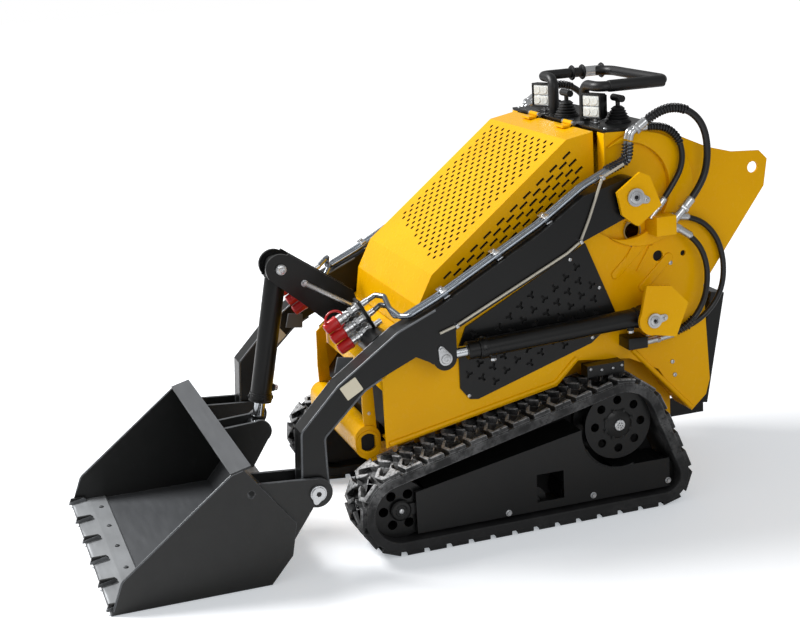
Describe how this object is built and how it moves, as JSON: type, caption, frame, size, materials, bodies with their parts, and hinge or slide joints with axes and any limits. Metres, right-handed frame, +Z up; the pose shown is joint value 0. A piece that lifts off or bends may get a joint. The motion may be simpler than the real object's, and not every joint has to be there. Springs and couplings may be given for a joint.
{
  "type": "compact track loader",
  "caption": "Walk-behind loader on two rubber tracks, with a lift boom, a tipping bucket, an opening hood and a fold-down ride platform.",
  "frame": {"origin": "on the ground, under the middle of the machine's length and width, with the boom down and the bucket flat on the ground", "axes": "+Z up, -Y forward (towards the bucket), +X towards the machine's left"},
  "size_m": [0.93, 2.174, 1.318],
  "materials": {
    "yellow_paint": "glossy machine yellow",
    "black_paint": "satin black",
    "bucket_paint": "worn satin black",
    "rubber": "moulded",
    "zinc": "zinc plated",
    "rod_chrome": "polished",
    "engine_metal": "cast",
    "lamp_glass": "pressed lens",
    "grip": "foam grip",
    "hose_rubber": "hydraulic hose",
    "red_plastic": "dust cap",
    "edge_steel": "scuffed cutting edge"
  },
  "bodies": {
    "chassis": {"belly_box": "yellow_paint", "boom_pins": "zinc", "console_top": "black_paint", "control_levers": "grip", "cylinder_brackets": "yellow_paint", "deck": "yellow_paint", "drive_motors": "black_paint", "engine_block": "engine_metal", "engine_rails": "black_paint", "fender_boxes": "black_paint", "fenders": "yellow_paint", "front_cross_tube": "yellow_paint", "front_panel": "black_paint", "front_uprights": "yellow_paint", "handlebar": "grip", "hood_hinge": "zinc", "hose_fittings": "zinc", "hose_inner_left": "hose_rubber", "hose_inner_right": "hose_rubber", "hose_lower_left": "hose_rubber", "hose_outer_left": "hose_rubber", "hose_outer_right": "hose_rubber", "hose_upper_left": "hose_rubber", "idlers": "black_paint", "lamp_housings": "black_paint", "lamp_lenses": "lamp_glass", "lift_foot_pins": "zinc", "pivot_brackets": "yellow_paint", "platform_hinge": "black_paint", "rear_panel": "yellow_paint", "rollers": "black_paint", "side_doors": "black_paint", "side_plate_left": "yellow_paint", "side_plate_right": "yellow_paint", "sprockets": "black_paint", "track_frame_left": "black_paint", "track_frame_right": "black_paint", "track_left": "rubber", "track_mounts": "black_paint", "track_right": "rubber"},
    "boom": {"boom_arm_left": "black_paint", "boom_arm_right": "black_paint", "boom_cross_tube": "black_paint", "boom_pipes": "zinc", "coupler_blocks": "zinc", "coupler_caps": "red_plastic", "tilt_brackets": "black_paint", "tilt_pin": "zinc"},
    "bucket": {"bucket": "bucket_paint", "bucket_pins": "zinc", "cutting_edge": "edge_steel"},
    "hood": {"hood": "yellow_paint"},
    "ride_platform": {"ride_platform": "black_paint"},
    "lift_left_barrel": {"lift_left_barrel": "black_paint"},
    "lift_left_rod": {"lift_left_rod": "rod_chrome"},
    "lift_right_barrel": {"lift_right_barrel": "black_paint"},
    "lift_right_rod": {"lift_right_rod": "rod_chrome"},
    "tilt_barrel": {"tilt_barrel": "black_paint"},
    "tilt_rod": {"tilt_rod": "rod_chrome"}
  },
  "joints": [
    {"name": "boom_lift", "type": "hinge", "parent": "chassis", "child": "boom", "pos_m": [0, 0.573, 1], "axis": [-1, 0, 0], "range_deg": [0, 75]},
    {"name": "bucket_tilt", "type": "hinge", "parent": "boom", "child": "bucket", "pos_m": [0, -0.454, 0.252], "axis": [1, 0, 0], "range_deg": [-30, 66]},
    {"name": "hood_open", "type": "hinge", "parent": "chassis", "child": "hood", "pos_m": [0, 0.516, 1.192], "axis": [-1, 0, 0], "range_deg": [0, 55]},
    {"name": "platform_fold", "type": "hinge", "parent": "chassis", "child": "ride_platform", "pos_m": [0, 0.905, 0.236], "axis": [-1, 0, 0], "range_deg": [0, 80]},
    {"name": "lift_left_swing", "type": "hinge", "parent": "chassis", "child": "lift_left_barrel", "pos_m": [0.396, 0.628, 0.615], "axis": [-1, 0, 0], "range_deg": [0, 57.19]},
    {"name": "lift_left_extend", "type": "slide", "parent": "lift_left_barrel", "child": "lift_left_rod", "axis": [0, -0.9992, -0.0406], "range_m": [0, 0.39551]},
    {"name": "lift_right_swing", "type": "hinge", "parent": "chassis", "child": "lift_right_barrel", "pos_m": [-0.396, 0.628, 0.615], "axis": [-1, 0, 0], "range_deg": [0, 57.19]},
    {"name": "lift_right_extend", "type": "slide", "parent": "lift_right_barrel", "child": "lift_right_rod", "axis": [0, -0.9992, -0.0406], "range_m": [0, 0.39551]},
    {"name": "tilt_swing", "type": "hinge", "parent": "boom", "child": "tilt_barrel", "pos_m": [0, -0.416, 0.828], "axis": [1, 0, 0], "range_deg": [-2.98, 1.36]},
    {"name": "tilt_extend", "type": "slide", "parent": "tilt_barrel", "child": "tilt_rod", "axis": [0, -0.2043, -0.9789], "range_m": [-0.04268, 0.09389]}
  ],
  "couplings": [
    {"joint": "lift_left_swing", "follows": "boom_lift", "ratio": 0.7624},
    {"joint": "lift_left_extend", "follows": "boom_lift", "m_per_rad": 0.30214},
    {"joint": "lift_right_swing", "follows": "boom_lift", "ratio": 0.7624},
    {"joint": "lift_right_extend", "follows": "boom_lift", "m_per_rad": 0.30214},
    {"joint": "tilt_swing", "follows": "bucket_tilt", "ratio": -0.045},
    {"joint": "tilt_extend", "follows": "bucket_tilt", "m_per_rad": 0.0815}
  ]
}
